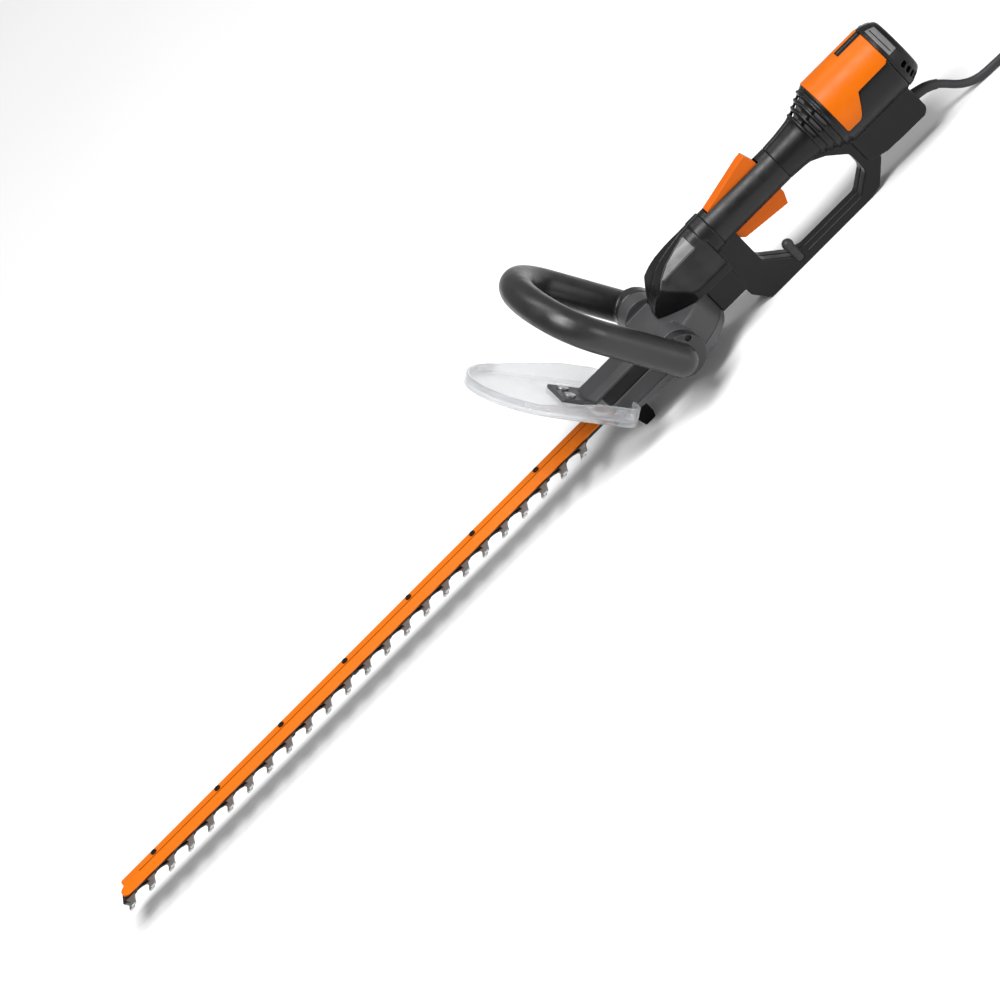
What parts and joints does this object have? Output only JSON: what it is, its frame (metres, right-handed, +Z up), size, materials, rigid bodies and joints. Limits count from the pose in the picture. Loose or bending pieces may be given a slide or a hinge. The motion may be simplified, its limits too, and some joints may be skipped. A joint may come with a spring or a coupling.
{
  "type": "hedge trimmer",
  "caption": "Corded hedge trimmer with one-sided reciprocating blades under a guide bar, clear hand shield, bail front handle and D-guard rear grip.",
  "frame": {"origin": "on the standing surface, under the middle of the bounding box without the cord", "axes": "+X along the tool toward the motor, +Z up when it stands on its guard and foot, the cutting teeth face -Y"},
  "size_m": [1.3635, 0.185, 0.1914],
  "materials": {
    "housing_black": "satin moulded",
    "soft_grip": "matt fine texture",
    "cover_orange": "satin moulded",
    "cap_black": "satin moulded",
    "inlay_grey": "satin moulded",
    "hook_black": "satin moulded",
    "screw_steel": "zinc plated",
    "cord_rubber": "matt",
    "clamp_nylon": "matt",
    "plug_black": "matt moulded",
    "pin_brass": "bright",
    "core_steel": "stacked sheet",
    "coil_copper": "enamelled",
    "holder_brass": "pressed",
    "brush_carbon": "matt carbon",
    "bearing_steel": "ground",
    "baffle_nylon": "matt",
    "commutator_copper": "turned",
    "shaft_steel": "ground",
    "fan_nylon": "matt",
    "gear_steel": "machined",
    "switch_grey": "matt",
    "lead_red": "insulated wire",
    "capacitor_yellow": "gloss",
    "lever_orange": "satin moulded",
    "pin_steel": "ground",
    "spring_steel": "drawn wire",
    "case_grey": "satin moulded",
    "case_metal": "painted casting",
    "foot_black": "matt",
    "cam_steel": "machined",
    "yoke_steel": "pressed",
    "blade_steel": "ground",
    "bar_orange": "satin paint",
    "bolt_black": "blackened",
    "spacer_steel": "turned",
    "felt_tan": "oiled felt",
    "shield_clear": "clear polycarbonate",
    "bail_black": "satin soft cover"
  },
  "bodies": {
    "housing": {"handle_shell_left": "housing_black", "handle_shell_right": "housing_black", "grip_sleeve": "soft_grip", "motor_cover": "cover_orange", "rear_cap": "cap_black", "nose_inlays": "inlay_grey", "cord_hook": "hook_black", "shell_screws": "screw_steel", "strain_relief": "cord_rubber", "cord_clamp": "clamp_nylon", "cord": "cord_rubber", "plug": "plug_black", "plug_pins": "pin_brass", "field_core": "core_steel", "field_coils": "coil_copper", "brush_holders": "holder_brass", "brushes": "brush_carbon", "motor_bearings": "bearing_steel", "baffle": "baffle_nylon", "shaft_bearing": "bearing_steel", "switch_body": "switch_grey", "leads": "lead_red", "capacitor": "capacitor_yellow", "trigger_pin": "pin_steel", "trigger_spring": "spring_steel", "lever_pin": "pin_steel", "lever_spring": "spring_steel", "gear_case_upper": "case_grey", "gear_case_lower": "case_metal", "case_screws": "screw_steel", "front_foot": "foot_black", "idler_bearings": "bearing_steel", "crank_bearing": "bearing_steel", "guide_bar": "bar_orange", "blade_bolts": "bolt_black", "blade_spacers": "spacer_steel", "blade_nuts": "bolt_black", "wiper_felt": "felt_tan", "shield": "shield_clear", "shield_screws": "screw_steel", "bail_handle": "bail_black", "handle_screws": "bolt_black"},
    "rotor": {"armature_core": "core_steel", "armature_windings": "coil_copper", "commutator": "commutator_copper", "drive_shaft": "shaft_steel", "fan": "fan_nylon", "input_pinion": "gear_steel"},
    "idler": {"idler_shaft": "shaft_steel", "face_gear": "gear_steel", "drive_pinion": "gear_steel"},
    "crank": {"crank_gear": "gear_steel", "crank_cams": "cam_steel"},
    "upper_cutter": {"upper_blade": "blade_steel", "upper_yoke": "yoke_steel"},
    "lower_cutter": {"lower_blade": "blade_steel", "lower_yoke": "yoke_steel"},
    "trigger": {"trigger": "lever_orange"},
    "lock_lever": {"lock_lever": "lever_orange"}
  },
  "joints": [
    {"name": "rotor_spin", "type": "hinge", "parent": "housing", "child": "rotor", "pos_m": [0.4796, 0, 0.089], "axis": [1, 0, 0], "continuous": true},
    {"name": "idler_spin", "type": "hinge", "parent": "housing", "child": "idler", "pos_m": [0.2311, 0, 0.05], "axis": [0, 0, 1], "continuous": true},
    {"name": "crank_spin", "type": "hinge", "parent": "housing", "child": "crank", "pos_m": [0.1936, 0, 0.048], "axis": [0, 0, 1], "continuous": true},
    {"name": "upper_blade_slide", "type": "slide", "parent": "housing", "child": "upper_cutter", "axis": [1, 0, 0], "range_m": [-0.0065, 0.0065]},
    {"name": "lower_blade_slide", "type": "slide", "parent": "housing", "child": "lower_cutter", "axis": [1, 0, 0], "range_m": [-0.0065, 0.0065]},
    {"name": "trigger_pull", "type": "hinge", "parent": "housing", "child": "trigger", "pos_m": [0.3046, 0, 0.077], "axis": [0, -1, 0], "range_deg": [0, 6], "stiffness_Nm_per_rad": 0.5, "springref_deg": -6.88},
    {"name": "lock_lever_press", "type": "hinge", "parent": "housing", "child": "lock_lever", "pos_m": [0.3006, 0, 0.101], "axis": [0, 1, 0], "range_deg": [0, 6], "stiffness_Nm_per_rad": 0.4, "springref_deg": -6.88}
  ],
  "couplings": [
    {"joint": "idler_spin", "follows": "rotor_spin", "ratio": 0.33333},
    {"joint": "crank_spin", "follows": "rotor_spin", "ratio": -0.083333},
    {"joint": "lower_blade_slide", "follows": "upper_blade_slide", "ratio": -1}
  ]
}
